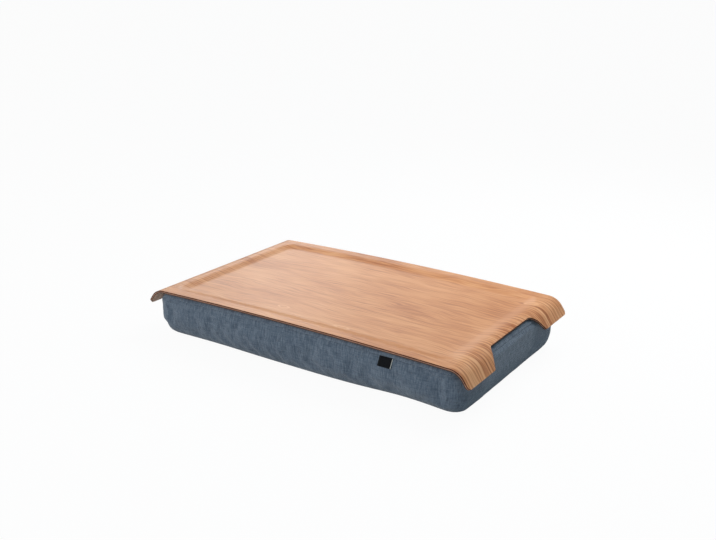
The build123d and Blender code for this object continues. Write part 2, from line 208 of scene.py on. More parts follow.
surround = bpy.data.worlds.new("surround")
bpy.context.scene.world = surround
surround.use_nodes = True
sky = Shader(surround.node_tree)
east, north, height = sky.axes(sky.node("ShaderNodeTexCoord").output("Generated"))
right_pane, left_pane, wall = sky.ramp(east, -0.31, -0.39), sky.ramp(east, -0.48, -0.58), sky.ramp(east, -0.6, -0.67)
sill, lintel = sky.ramp(height - east * 0.5, 0.5, 0.57), sky.ramp(height, 0.5, 0.4)
window = (right_pane * 1.7 + left_pane * 1.6 - wall * 2.1) * sill * lintel
ray = sky.node("ShaderNodeLightPath")
tint = sky.mixed(sky.ramp(east, -0.1, 0.6), (1, 1, 1), (0.5, 0.85, 1))
lit = sky.node("ShaderNodeBackground", {}, {"Color": tint, "Strength": sky.ramp(east, -0.1, 0.7, 0.74, 0.16)})
mirrored = sky.node("ShaderNodeBackground", {}, {"Color": (1, 1, 1), "Strength": window * 1.1 + 0.12})
shown = sky.node("ShaderNodeBackground", {}, {"Color": (1, 1, 1), "Strength": 1.0})
indoors = sky.node("ShaderNodeMixShader", {}, {0: ray.output("Is Glossy Ray"), 1: lit, 2: mirrored})
sky.show(sky.node("ShaderNodeMixShader", {}, {0: ray, 1: indoors, 2: shown}), "World Output")


def soft_lamp(name, place, aim, size, power):
    """Square lamp at place that faces aim."""
    lamp = bpy.data.lights.new(name, "AREA")
    lamp.shape = "SQUARE"
    lamp.size = size
    lamp.energy = power
    holder = bpy.data.objects.new(name, lamp)
    bpy.context.scene.collection.objects.link(holder)
    holder.location = place
    holder.rotation_euler = (Vector(place) - Vector(aim)).to_track_quat("Z", "Y").to_euler()
    holder.visible_glossy = False


soft_lamp("key_lamp", (0.25, 0.6, 0.85), (0, 0, 0.05), 0.8, 8.7)
soft_lamp("front_lamp", (-0.9, -2.2, 0.7), (0, 0, 0.05), 1.6, 24)

# Pressed tray
# Five thin veneers, glued under heat in a curved mould, so the sheet is bowed along its length, curls down at both
# ends and has a shallow recess pressed into it. The notches at the ends are milled afterwards.
mm = 0.001
bow_radius = 6911.9265625 * mm
bow_centre = 67.2 * mm - bow_radius
curl_radius = 23.75 * mm
bow_angle = asin(210.3 * mm / bow_radius)
curl_end = radians(55.5)
bow_run = bow_radius * bow_angle
curl_run = curl_radius * (curl_end - bow_angle)
lip_run = 11.8 * mm
curl_centre_x = (bow_radius - curl_radius) * sin(bow_angle)
curl_centre_z = bow_centre + (bow_radius - curl_radius) * cos(bow_angle)
tray_half_depth = 140 * mm
tray_half_run = bow_run + curl_run + lip_run
recess_depth = 3.5 * mm


def on_mould(run, y, drop):
    """Place of a point of the flat veneer once it is pressed, drop below the tray's upper face."""
    side = -1 if run < 0 else 1
    run = abs(run)
    if run <= bow_run:
        angle = run / bow_radius
        reach = bow_radius - drop
        return Vector((side * reach * sin(angle), y, bow_centre + reach * cos(angle)))
    angle = min(bow_angle + (run - bow_run) / curl_radius, curl_end)
    past = max(run - bow_run - curl_run, 0)
    reach = curl_radius - drop
    return Vector((side * (curl_centre_x + reach * sin(angle) + past * cos(angle)), y,
                   curl_centre_z + reach * cos(angle) - past * sin(angle)))


def recess(x, y, depth=recess_depth, slope=17 * mm, half_x=206.5 * mm, half_y=127.5 * mm, corner=24 * mm):
    """How far the pressed recess lies below the bowed surface: soft at its crest and at its floor."""
    over_x, over_y = abs(x) - half_x + corner, abs(y) - half_y + corner
    inside = corner - hypot(max(over_x, 0), max(over_y, 0)) - min(max(over_x, over_y), 0)
    easing = 1.2 * mm
    share = min(max((inside + easing) / (slope + 2 * easing), 0), 1)
    return depth * share * share * (3 - 2 * share)


notch_reach, notch_half_width, notch_half_mouth, notch_slant = 218.534 * mm, 55.3 * mm, 74.6 * mm, 1.1156
notch_angle = asin((notch_reach - curl_centre_x) / curl_radius)
notch_run = bow_run + curl_radius * (notch_angle - bow_angle)
notch_side = [(notch_run, notch_half_width)]
for angle in (radians(31), radians(40), radians(48), curl_end):
    along = curl_centre_x + curl_radius * sin(angle)
    notch_side.append((bow_run + curl_radius * (angle - bow_angle),
                       notch_half_width + notch_slant * (along - notch_reach)))
notch_side.append((tray_half_run, notch_half_mouth))
quarter = notch_side + [(tray_half_run, tray_half_depth)]
right_end = [(run, -y) for run, y in reversed(quarter)] + quarter
outline = right_end + [(-run, y) for run, y in reversed(right_end)]

blank = bmesh.new()
corners = [blank.verts.new((run, y, 0)) for run, y in outline]
blank.faces.new(corners)
for radius, turn, chosen in ((6 * mm, 90, tray_half_depth), (10 * mm, 44, notch_half_width),
                             (4 * mm, 57.7, notch_half_mouth)):
    sharp = [v for v in blank.verts if abs(abs(v.co.y) - chosen) < 1e-6]
    bmesh.ops.bevel(blank, geom=sharp, offset=radius * tan(radians(turn / 2)), affect="VERTICES", segments=6,
                    profile=0.5, material=-1)
# The blank is cut finely where the recess slopes and where the ends curl, and coarsely elsewhere.
run_cuts = [i * 12 * mm for i in range(16)] + [(190 + 1.3 * i) * mm for i in range(14)]
run_cuts += [bow_run + 1.6 * mm * i for i in range(14)] + [bow_run + curl_run + i * 2.4 * mm for i in range(5)]
depth_cuts = [i * 11 * mm for i in range(10)] + [(109 + 1.2 * i) * mm for i in range(15)]
depth_cuts += [(129 + 2.5 * i) * mm for i in range(5)]
for axis, cuts in (((1, 0, 0), run_cuts), ((0, 1, 0), depth_cuts)):
    for cut in cuts:
        for side in ((1, -1) if cut else (1,)):
            bmesh.ops.bisect_plane(blank, geom=blank.verts[:] + blank.edges[:] + blank.faces[:],
                                   plane_co=Vector(axis) * cut * side, plane_no=axis)


def pressed_veneer(name, upper_drop, lower_drop, *finishes):
    """One veneer of the tray, pressed to shape; the second finish is for its cut edge."""
    veneer = blank.copy()
    made = bmesh.ops.extrude_face_region(veneer, geom=veneer.faces[:], use_keep_orig=True)
    lower = {v for v in made["geom"] if isinstance(v, bmesh.types.BMVert)}
    for face in veneer.faces:
        if 0 < len(lower.intersection(face.verts)) < len(face.verts):
            face.material_index = 1
    for vert in veneer.verts:
        run, y = vert.co.x, vert.co.y
        drop = lower_drop if vert in lower else upper_drop
        vert.co = on_mould(run, y, drop + recess(run, y))
    bmesh.ops.recalc_face_normals(veneer, faces=veneer.faces)
    rim = [e for e in veneer.edges if len({f.material_index for f in e.link_faces}) == 2]
    for edge in rim:
        edge.smooth = False
    if upper_drop == 0:
        arris = [e for e in rim if not lower.intersection(e.verts)]
        bmesh.ops.bevel(veneer, geom=arris, offset=0.25 * mm, affect="EDGES", segments=2, profile=0.5, material=-1)
    piece = placed(name + "_sheet", veneer, *finishes)
    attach(piece, "tray")
    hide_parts(name)
    return piece


def veneer_finish(name, pale, mid, dark, roughness, contrast=1.0, knots=()):
    """Sliced wood: wavy streaks along the length that bend round the knots, stronger where the sheet curls, and pores.
    A knot is its x and y and half its length and width."""
    wood = Finish(name, Roughness=roughness, Coat_Roughness=0.28, Coat_Weight=0.25)
    x, y, z = wood.axes(wood.node("ShaderNodeTexCoord").output("Object"))
    drift = wood.speckle(wood.vector(x * 5, y * 11), detail=3) - 0.5
    sway = wood.speckle(wood.vector(x * 20, y * 60), detail=2) - 0.5
    grain = y + drift * 0.038 + sway * 0.007
    eyes = 0.0
    for knot_x, knot_y, half_long, half_wide in knots:
        along, aside = (x - knot_x) / half_long, (y - knot_y) / half_wide
        near = along * along * 0.5 + aside * aside
        grain = grain - (y - knot_y) * 1.4 / (near + 0.6)
        rim = (near.math("SQRT") - 0.85).math("ABSOLUTE")
        eyes = wood.ramp(rim, 0.32, 0.0) + eyes
    fine = wood.speckle(wood.vector(x * 20, grain * 420, 2.9), detail=2, roughness=0.6)
    broad = wood.speckle(wood.vector(x * 9, grain * 110, 1.7), detail=2, roughness=0.55)
    cloud = wood.speckle(wood.vector(x * 9, grain * 22, 4.2), detail=2)
    arch = grain + 0.02
    ring = arch * arch * 1500 + x * 14 + broad * 0.8
    season = ring.math("FRACT")
    late = season ** 3 * wood.ramp(season, 1.0, 0.9)
    bent = wood.ramp(x.math("ABSOLUTE"), 0.188, 0.222, 1.35, 3.0)
    tone = (fine - 0.5) * bent + (broad - 0.5) * 0.45 + (cloud - 0.5) * 0.6 - late * 0.1 + eyes * 0.45
    colour = wood.node("ShaderNodeValToRGB", {"stops": [(0.15, dark), (0.52, mid), (0.85, pale)]},
                       {"Fac": tone * contrast + 0.52})
    pores = wood.speckle(wood.vector(x * 60, grain * 1500, 7.3), detail=1)
    pore = wood.ramp(pores, 0.37, 0.25) * wood.ramp(fine, 0.6, 0.4)
    wood.set("Base Color", wood.mixed(pore * (0.3 * contrast), colour, dark))
    wood.set("Roughness", roughness + (fine - 0.5) * 0.2)
    wood.bump(fine * 0.5 - pore, 0.00006, 0.5)
    return wood


def edge_finish(name, light, dark):
    """Cut edge of a veneer: short lines of fibres, sanded and lacquered with the rest."""
    edge = Finish(name, Roughness=0.75, Specular_IOR_Level=0.15)
    x, y, z = edge.axes(edge.node("ShaderNodeTexCoord").output("Object"))
    fibre = edge.speckle(edge.vector(x * 240, y * 900, z * 2600), detail=3)
    blotch = edge.speckle(edge.vector(x * 22, y * 60, z * 300), detail=2)
    tone = fibre * 0.6 + blotch * 0.4
    edge.set("Base Color", edge.node("ShaderNodeValToRGB", {"stops": [(0.36, dark), (0.64, light)]}, {"Fac": tone}))
    edge.bump(fibre, 0.00008, 0.5)
    return edge


face_wood = veneer_finish("face_wood", (0.72, 0.39, 0.195), (0.6, 0.27, 0.117), (0.36, 0.12, 0.042), 0.4, 0.85,
                          knots=((-48.2 * mm, -93 * mm, 6.2 * mm, 4.2 * mm), (49 * mm, -108 * mm, 8 * mm, 3.6 * mm),
                                 (202 * mm, 100 * mm, 7 * mm, 4 * mm)))
# The cut edges of the face and upper cross veneers are near black. Part of this is the end grain's own darker tone,
# and part is painted shade of the gap between tray and cushion.
face_edge = edge_finish("face_edge", (0.09, 0.026, 0.012), (0.045, 0.012, 0.006))
cross_wood = veneer_finish("cross_wood", (0.4, 0.22, 0.12), (0.3, 0.15, 0.08), (0.2, 0.09, 0.05), 0.6)
cross_edge = edge_finish("cross_edge", (0.07, 0.02, 0.01), (0.035, 0.01, 0.005))
pale_wood = veneer_finish("pale_wood", (0.8, 0.66, 0.48), (0.72, 0.55, 0.38), (0.58, 0.4, 0.25), 0.6)
pale_edge = edge_finish("pale_edge", (0.42, 0.23, 0.16), (0.22, 0.115, 0.08))
# The cut edges of the lower cross and backing veneers are much darker than their pale faces. This is painted shade of
# the gap under the tray, deepest on the backing.
lower_edge = edge_finish("lower_edge", (0.15, 0.09, 0.07), (0.08, 0.05, 0.04))
back_wood = veneer_finish("back_wood", (0.8, 0.5, 0.33), (0.7, 0.4, 0.25), (0.46, 0.24, 0.14), 0.55, 0.7)
back_edge = edge_finish("back_edge", (0.07, 0.035, 0.022), (0.035, 0.018, 0.012))
drop = 0.0
for name, slot, thickness, flat, cut in (("face_veneer", "face_veneer", 0.7, face_wood, face_edge),
                                         ("upper_cross_veneer", "dark_cross_veneer", 0.6, cross_wood, cross_edge),
                                         ("core_veneer", "pale_veneer", 0.9, pale_wood, pale_edge),
                                         ("lower_cross_veneer", "pale_veneer", 0.6, pale_wood, lower_edge),
                                         ("backing_veneer", "backing_veneer", 0.6, back_wood, back_edge)):
    pressed_veneer(name, drop * mm, (drop + thickness) * mm, flat, cut)
    drop += thickness
blank.free()

# Hook strips
# Two bands of nylon hooks, glued under the recess. The tray is pressed down on the cushion's loop strips with them.
def bowed_band(name, node, drop, thickness, finish, body):
    """Band along the bow with rounded edges, its upper face drop below the tray's upper face."""
    low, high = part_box(node)
    middle, long, wide = (low + high) / 2, high.x - low.x, high.y - low.y
    band = bmesh.new()
    bmesh.ops.create_cube(band, matrix=Matrix.Diagonal((long, wide, thickness, 1)))
    sides = [e for e in band.edges if abs(e.verts[0].co.x - e.verts[1].co.x) > wide]
    bmesh.ops.bevel(band, geom=sides, offset=thickness * 0.4, affect="EDGES", segments=3, profile=0.5, material=-1)
    bmesh.ops.subdivide_edges(band, edges=[e for e in band.edges if e.calc_length() > wide * 2], cuts=60)
    for vert in band.verts:
        below = drop + thickness / 2 - vert.co.z
        vert.co = on_mould(vert.co.x, middle.y + vert.co.y, below)
    piece = placed(name, band, finish)
    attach(piece, body)
    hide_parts(node)
    return piece


hooks = Finish("nylon_hooks", Roughness=0.55)
x, y, z = hooks.axes(hooks.node("ShaderNodeTexCoord").output("Object"))
rows = hooks.node("ShaderNodeTexVoronoi", {"feature": "F1"},
                  {"Vector": hooks.vector(x * 900, y * 1300), "Scale": 1.0, "Randomness": 0.25})
hook_tips = hooks.ramp(rows, 0.45, 0.15)
hooks.set("Base Color", hooks.mixed(hook_tips, (0.012, 0.012, 0.014), (0.05, 0.05, 0.055)))
hooks.bump(hook_tips, 0.0006, 0.8)
for place in ("front", "back"):
    bowed_band("hook_band_" + place, "hook_strip_" + place, 6.9 * mm, 1.2 * mm, hooks, "tray")

# Cushion cover
# Woven melange cloth, sewn from a top panel, a bottom panel and a band round the sides. The beads inside push it out
# between its seams, so the walls swell a little, the foot rounds in, and the cloth has soft dents and a pinch or two.
half_long, half_deep, corner = 225.634 * mm, 138.8 * mm, 20 * mm
girth, crown = 29.3 * mm, 63.3 * mm
foot_inset_end, foot_inset_side, waist = 10.5 * mm, 21.0 * mm, 2.5 * mm
end_round, side_round, tuck = 16 * mm, 6 * mm, 0.8 * mm
upper_seam, lower_seam = 57.8 * mm, 4 * mm
zip_level, zip_half_long, zip_half_high = 41.9 * mm, 165.634 * mm, 3.5 * mm
back_seam = half_long - corner


def eased(value, low, high):
    """Smooth rise from 0 at low to 1 at high."""
    share = min(max((value - low) / (high - low), 0), 1)
    return share * share * (3 - 2 * share)


def cushion_level(x, y, height):
    """Place at height of a point of the girth outline: drawn in below the girth, rounded over at the crown."""
    pull, draw, end_in, side_in = 0, 0, 0, 0
    if height < girth:
        pull = 1 - sqrt(1 - (1 - height / girth) ** 2)
        draw = waist * pull
    if height > crown - end_round:
        end_in = end_round - sqrt(end_round ** 2 - (height - crown + end_round) ** 2) - tuck
    if height > crown - side_round:
        side_in = side_round - sqrt(side_round ** 2 - (height - crown + side_round) ** 2) - tuck
    wide = half_long - foot_inset_end * pull - max(end_in, 0)
    deep = half_deep - foot_inset_side * pull - max(side_in, 0)
    waist_x = draw * (1 - (y / half_deep) ** 2) * abs(x) / half_long
    waist_y = draw * (1 - (x / half_long) ** 2) * abs(y) / half_deep
    x = x * wide / half_long
    y = y * deep / half_deep
    return Vector((x - waist_x * (1 if x > 0 else -1), y - waist_y * (1 if y > 0 else -1), height))


cushion = bmesh.new()
plan = [cushion.verts.new((half_long * i, half_deep * j, 0)) for i, j in ((-1, -1), (1, -1), (1, 1), (-1, 1))]
cushion.faces.new(plan)
bmesh.ops.bevel(cushion, geom=cushion.verts[:], offset=corner, affect="VERTICES", segments=8, profile=0.5,
                material=-1)
bmesh.ops.subdivide_edges(cushion, edges=[e for e in cushion.edges if e.calc_length() > 0.1], cuts=19)
top = cushion.faces[:]
heights = [girth * share for share in (0.012, 0.04, 0.09, 0.16, 0.26, 0.4, 0.6, 0.8, 1)]
heights += [36 * mm, 43 * mm] + [crown - end_round * (1 - sin(radians(t))) for t in (0, 15, 30, 45, 58, 70, 80, 90)]
for step, height in enumerate(heights):
    made = bmesh.ops.extrude_face_region(cushion, geom=top, use_keep_orig=step == 0)["geom"]
    top = [f for f in made if isinstance(f, bmesh.types.BMFace)]
    for vert in (v for v in made if isinstance(v, bmesh.types.BMVert)):
        vert.co.z = height
for vert in cushion.verts:
    vert.co = cushion_level(vert.co.x, vert.co.y, vert.co.z)
bmesh.ops.recalc_face_normals(cushion, faces=cushion.faces)
pad = placed("cushion_pad", cushion)


def applied(piece):
    """The piece's mesh with its modifiers applied, in place of the one it had."""
    mesh = bpy.data.meshes.new_from_object(piece.evaluated_get(bpy.context.evaluated_depsgraph_get()))
    piece.modifiers.clear()
    old, piece.data = piece.data, mesh
    bpy.data.meshes.remove(old)


remesh = pad.modifiers.new("remesh", "REMESH")
remesh.mode = "VOXEL"
remesh.voxel_size = 5 * mm
applied(pad)


slack = 4.5 * mm


def give(x, y, z):
    """How far a point of the cover may move: little under the tray and on the foot, none along the zip."""
    wall = eased(z, 3 * mm, 14 * mm) * (1 - eased(z, 50 * mm, 60 * mm)) * (
        1 - 0.8 * eased(abs(x), half_long - 30 * mm, half_long - 8 * mm))
    at_zip = 0
    if y > half_deep - 25 * mm:
        at_zip = (1 - eased(abs(z - zip_level), 9 * mm, 15 * mm)) * (1 - eased(abs(x), 176 * mm, 190 * mm))
    return slack * wall * (1 - at_zip)


held = pad.vertex_groups.new(name="held")
for vert in pad.data.vertices:
    held.add([vert.index], 1 - min(give(*vert.co) / slack, 1), "REPLACE")
start = [vert.co.copy() for vert in pad.data.vertices]
cloth = pad.modifiers.new("cloth", "CLOTH")
cloth.settings.quality = 6
cloth.settings.mass = 0.3
cloth.settings.bending_stiffness = 1.5
cloth.settings.use_pressure = True
cloth.settings.uniform_pressure_force = 4
cloth.settings.shrink_min = -0.035
cloth.settings.effector_weights.gravity = 0
cloth.settings.vertex_group_mass = "held"
for frame_number in range(1, 21):
    bpy.context.scene.frame_set(frame_number)
applied(pad)
bpy.context.scene.frame_set(1)
for vert, place in zip(pad.data.vertices, start):
    move = vert.co - place
    cap = give(*place)
    if move.length > cap:
        move = move * (cap / move.length)
    vert.co = place + move
smooth = pad.modifiers.new("finer", "SUBSURF")
smooth.levels = smooth.render_levels = 1
applied(pad)


def facing(vert):
    """Way that the surface faces at a vertex; slivers hardly count."""
    return sum((face.normal * face.calc_area() for face in vert.link_faces), Vector()).normalized()


cover = bmesh.new()
cover.from_mesh(pad.data)
zip_low, zip_high = zip_level - zip_half_high, zip_level + zip_half_high
seam_cuts = [((0, 0, seam + step * mm), (0, 0, 1))
             for seam in (upper_seam, lower_seam) for step in (-2.6, -1, 0, 1, 2.6)]
seam_cuts += [((side * (back_seam + step * mm), 0, 0), (1, 0, 0)) for side in (-1, 1) for step in (-2, 0, 2)]
seam_cuts += [((0, 0, level), (0, 0, 1)) for level in (zip_low, zip_level, zip_high)]
seam_cuts += [((side * zip_half_long, 0, 0), (1, 0, 0)) for side in (-1, 1)]
for place, square in seam_cuts:
    bmesh.ops.bisect_plane(cover, geom=cover.verts[:] + cover.edges[:] + cover.faces[:], plane_co=place,
                           plane_no=square)
bmesh.ops.dissolve_degenerate(cover, dist=0.1 * mm, edges=cover.edges)
bmesh.ops.triangulate(cover, faces=[f for f in cover.faces if len(f.verts) > 4])
cover.normal_update()


def around(x, y):
    """Distance along the girth from the middle of the front to the point of the wall nearest to x, y."""
    side = 1 if x > 0 else -1
    x = abs(x)
    flat_x, flat_y = half_long - corner, half_deep - corner
    if x > flat_x and abs(y) > flat_y:
        turn = min(max((asin(min((abs(y) - flat_y) / max(hypot(x - flat_x, abs(y) - flat_y), 1e-9), 1))), 0), pi / 2)
        if y < 0:
            return side * (flat_x + corner * (pi / 2 - turn))
        return side * (flat_x + corner * (pi / 2 + turn) + 2 * flat_y)
    if half_deep - abs(y) < half_long - x:
        if y < 0:
            return side * x
        return side * (2 * flat_x + corner * pi + 2 * flat_y - x)
    return side * (flat_x + corner * pi / 2 + flat_y + y)


def dent(x, y, z, place, reach, depth):
    """Depth of a soft dent of this reach around a place."""
    away = Vector(((x - place[0]) / reach[0], (y - place[1]) / reach[1], (z - place[2]) / reach[2])).length
    return depth * exp(-away * away)


# Each dent: its place, its reach along x, y and z, and its depth.
dents = (((-222 * mm, -130 * mm, 14 * mm), (26 * mm, 26 * mm, 8 * mm), 2.8 * mm),
         ((-222 * mm, -130 * mm, 36 * mm), (16 * mm, 16 * mm, 16 * mm), 1.0 * mm),
         ((222 * mm, 132 * mm, 28 * mm), (20 * mm, 22 * mm, 20 * mm), 2.0 * mm),
         ((150 * mm, -132 * mm, 5 * mm), (60 * mm, 40 * mm, 15 * mm), 3.6 * mm),
         ((-140 * mm, -132 * mm, 5 * mm), (70 * mm, 40 * mm, 15 * mm), 1.3 * mm),
         ((219 * mm, -128 * mm, 19 * mm), (3.5 * mm, 14 * mm, 3 * mm), 1.6 * mm),
         ((208 * mm, -136 * mm, 22 * mm), (7 * mm, 12 * mm, 4 * mm), 0.9 * mm),
         ((-120 * mm, -138 * mm, 20 * mm), (30 * mm, 30 * mm, 8 * mm), 1.0 * mm),
         ((60 * mm, -138 * mm, 14 * mm), (26 * mm, 30 * mm, 7 * mm), 1.1 * mm),
         ((225 * mm, 60 * mm, 22 * mm), (30 * mm, 26 * mm, 9 * mm), 1.2 * mm),
         ((225 * mm, -50 * mm, 16 * mm), (30 * mm, 22 * mm, 6 * mm), 1.0 * mm),
         ((-225 * mm, -70 * mm, 24 * mm), (30 * mm, 30 * mm, 10 * mm), 1.3 * mm),
         ((-225 * mm, 60 * mm, 18 * mm), (30 * mm, 24 * mm, 8 * mm), 1.1 * mm),
         ((-90 * mm, 138 * mm, 18 * mm), (30 * mm, 30 * mm, 6 * mm), 1.0 * mm),
         ((110 * mm, 138 * mm, 16 * mm), (26 * mm, 30 * mm, 6 * mm), 1.2 * mm))


def slumped(x, y, z, outward):
    """Where a point of the straight, level cover ends up: pulled in at seams, dented, dished and bowed."""
    wall = 1 - abs(outward.z) ** 2
    seam = min(abs(z - upper_seam), abs(z - lower_seam))
    if y > half_deep - 20 * mm and z > lower_seam:
        seam = min(seam, abs(abs(x) - back_seam))
    sunk = 0.28 * mm * exp(-(seam / (1.1 * mm)) ** 2)
    for place, reach, depth in dents:
        sunk += dent(x, y, z, place, reach, depth)
    if z > lower_seam:
        sunk += 0.35 * mm * wall * noise.noise(Vector((x * 60, y * 60, z * 35)))
    place = Vector((x, y, z)) - outward * sunk
    dished = recess(x, y, depth=5.9 * mm, slope=16 * mm, half_x=203.7 * mm, half_y=124.7 * mm)
    place.z -= eased(z, 57 * mm, 62 * mm) * dished
    place.z -= eased(z, 47 * mm, 57 * mm) * x * x / (2 * bow_radius)
    place.z = max(place.z, 0)
    return place


filled = cover.copy()
weave_at = cover.loops.layers.uv.new("weave")
for face in cover.faces:
    middle = face.calc_center_median()
    level = middle.z < lower_seam or middle.z > upper_seam
    for loop in face.loops:
        at = loop.vert.co
        loop[weave_at].uv = (at.x, at.y) if level else (around(at.x, at.y), at.z)
    if level:
        face.material_index = 1 if middle.z > upper_seam else 2
    elif middle.y > 0 and abs(middle.x) < back_seam:
        face.material_index = 3 if middle.z > zip_level else 4
        if abs(middle.x) < zip_half_long and zip_low < middle.z < zip_high:
            face.material_index = 5
places = [slumped(*vert.co, facing(vert)) for vert in cover.verts]
for vert, place in zip(cover.verts, places):
    vert.co = place
cover.normal_update()


def woven_finish(name, dark, mid, light, fleck):
    """Plain weave of melange yarn: each yarn is spun from light and dark fibres, with slubs along it."""
    woven = Finish(name, Roughness=0.92, Sheen_Weight=0.25, Sheen_Roughness=0.5)
    woven.surface.inputs["Specular IOR Level"].default_value = 0.2
    along, aloft, flat = woven.axes(woven.node("ShaderNodeUVMap", {"uv_map": "weave"}))
    pitch = 1150
    warp, weft = along * pitch, aloft * pitch
    over = ((warp.math("FLOOR") + weft.math("FLOOR")) * 0.5).math("FRACT") * 2
    warp_round = (warp.math("FRACT") * pi).math("SINE")
    weft_round = (weft.math("FRACT") * pi).math("SINE")
    relief = over * warp_round + (1 - over) * weft_round
    standing = woven.speckle(woven.vector(warp * 0.5, aloft * 100), detail=2, roughness=0.6)
    lying = woven.speckle(woven.vector(along * 85, weft * 0.8, 5.3), detail=2, roughness=0.6)
    fibres = woven.speckle(woven.vector(warp * 1.6, weft * 1.6, 2.2), detail=2)
    broad = woven.speckle(woven.vector(along * 20, aloft * 26, 8.8), detail=2)
    tone = standing * 0.42 + lying * 0.26 + fibres * 0.22 + broad * 0.1
    tone = 0.5 + (tone - 0.5) * 2.1
    colour = woven.node("ShaderNodeValToRGB", {"stops": [(0.2, dark), (0.5, mid), (0.82, light)]}, {"Fac": tone})
    spun = woven.speckle(woven.vector(warp * 0.45, weft * 0.35, 9.6), detail=3, roughness=0.7)
    colour = woven.mixed(woven.ramp(spun, 0.6, 0.74, 0, 0.5), colour, fleck)
    # The gaps between the yarns, where the relief is low, are painted darker. This is painted shade of the weave's
    # hollows.
    woven.set("Base Color", woven.mixed(woven.ramp(relief, 0.5, 0.05, 0, 0.55), colour, dark))
    woven.bump(relief + fibres * 0.5, 0.00022, 0.7)
    return woven


cover_cloth = woven_finish("cover_cloth", (0.042, 0.06, 0.09), (0.105, 0.14, 0.186), (0.195, 0.235, 0.285),
                           (0.18, 0.16, 0.145))


def panel(name, number, *nodes):
    """One cut piece of the cover, with its edges turned in where it is sewn."""
    cut = cover.copy()
    others = [f for f in cut.faces if f.material_index != number]
    bmesh.ops.delete(cut, geom=others, context="FACES")
    cut.normal_update()
    edges = [e for e in cut.edges if e.is_boundary]
    inward = {v: -facing(v) for e in edges for v in e.verts}
    for depth in (0.5 * mm, 2.2 * mm):
        made = bmesh.ops.extrude_edge_only(cut, edges=edges)["geom"]
        edges = [g for g in made if isinstance(g, bmesh.types.BMEdge)]
        ring = {v for e in edges for v in e.verts}
        for vert in ring:
            old = [e.other_vert(vert) for e in vert.link_edges if e.other_vert(vert) in inward]
            way = inward[old[0]]
            vert.co += way * depth
            inward[vert] = way
    for face in cut.faces:
        face.material_index = 0
    piece = placed(name, cut, cover_cloth)
    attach(piece, "cushion")
    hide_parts(*nodes)


panel("top_panel_cloth", 1, "top_panel")
panel("bottom_panel_cloth", 2, "bottom_panel")
panel("back_band_upper_cloth", 3, "back_band_upper")
panel("back_band_lower_cloth", 4, "back_band_lower")
panel("side_band_cloth", 0, "side_band")
cover.free()
bpy.data.objects.remove(pad)

# Loop strips
# Two bands of brushed nylon loops, sewn on the top panel along both edges. The tray's hooks take hold in them.
loops = Finish("nylon_loops", Roughness=0.95, Sheen_Weight=0.4)
x, y, z = loops.axes(loops.node("ShaderNodeTexCoord").output("Object"))
curls = loops.speckle(loops.vector(x * 700, y * 700), detail=3, roughness=0.7)
stitch_line = loops.ramp((((y.math("ABSOLUTE") - 0.07).math("ABSOLUTE")) - 0.0105).math("ABSOLUTE"), 0.0007, 0.0003)
stitches = stitch_line * loops.ramp((x * 330).math("FRACT"), 0.2, 0.3)
pile = loops.node("ShaderNodeValToRGB", {"stops": [(0.3, (0.012, 0.013, 0.016)), (0.7, (0.06, 0.065, 0.075))]},
                  {"Fac": curls})
loops.set("Base Color", loops.mixed(stitches * 0.8, pile, (0.1, 0.11, 0.13)))
loops.bump(curls - stitch_line * 0.8, 0.0005, 0.9)
for place in ("front", "back"):
    bowed_band("loop_band_" + place, "loop_strip_" + place, 8.4 * mm, 1.4 * mm, loops, "cushion")

# Lining bag and beads
# A plain white bag that keeps the beads in when the cover is off, and the foam beads that fill it.
muslin = Finish("muslin", Roughness=0.95)
x, y, z = muslin.axes(muslin.node("ShaderNodeTexCoord").output("Object"))
threads = ((x + y) * 4400).math("SINE") * ((z - y) * 4400).math("SINE")
muslin.set("Base Color", muslin.mixed(threads * 0.5 + 0.5, (0.68, 0.66, 0.62), (0.8, 0.79, 0.76)))
muslin.bump(threads, 0.0001, 0.5)
foam = Finish("foam", Roughness=0.8)
cells = foam.node("ShaderNodeTexVoronoi", {"feature": "F1"},
                  {"Vector": foam.node("ShaderNodeTexCoord").output("Object"), "Scale": 330.0})
# The rims between the white beads are painted grey. This is painted shade of the hollows between them.
foam.set("Base Color", foam.mixed(foam.ramp(cells, 0.2, 0.6), (0.9, 0.9, 0.89), (0.55, 0.55, 0.54)))
foam.bump(foam.ramp(cells, 0.6, 0.1), 0.001, 0.9)


def inside_cover(name, node, finish, inset):
    """Closed form that lies this far inside the cover, pressed in further behind the zip."""
    shell = filled.copy()
    places = [slumped(*vert.co, facing(vert)) for vert in shell.verts]
    for vert, place in zip(shell.verts, places):
        vert.co = place
    shell.normal_update()
    outward = [facing(vert) for vert in shell.verts]
    for vert, way in zip(shell.verts, outward):
        behind = inset
        if vert.co.y > half_deep - 12 * mm:
            behind += 2.4 * mm * (1 - eased(abs(vert.co.z - zip_level), 11 * mm, 14 * mm)) * (
                1 - eased(abs(vert.co.x), 172 * mm, 180 * mm))
        vert.co -= way * behind
    piece = placed(name, shell, finish)
    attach(piece, "cushion")
    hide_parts(node)


inside_cover("lining_cloth", "lining_bag", muslin, 2.0 * mm)
inside_cover("beads", "bead_filling", foam, 3.2 * mm)
filled.free()

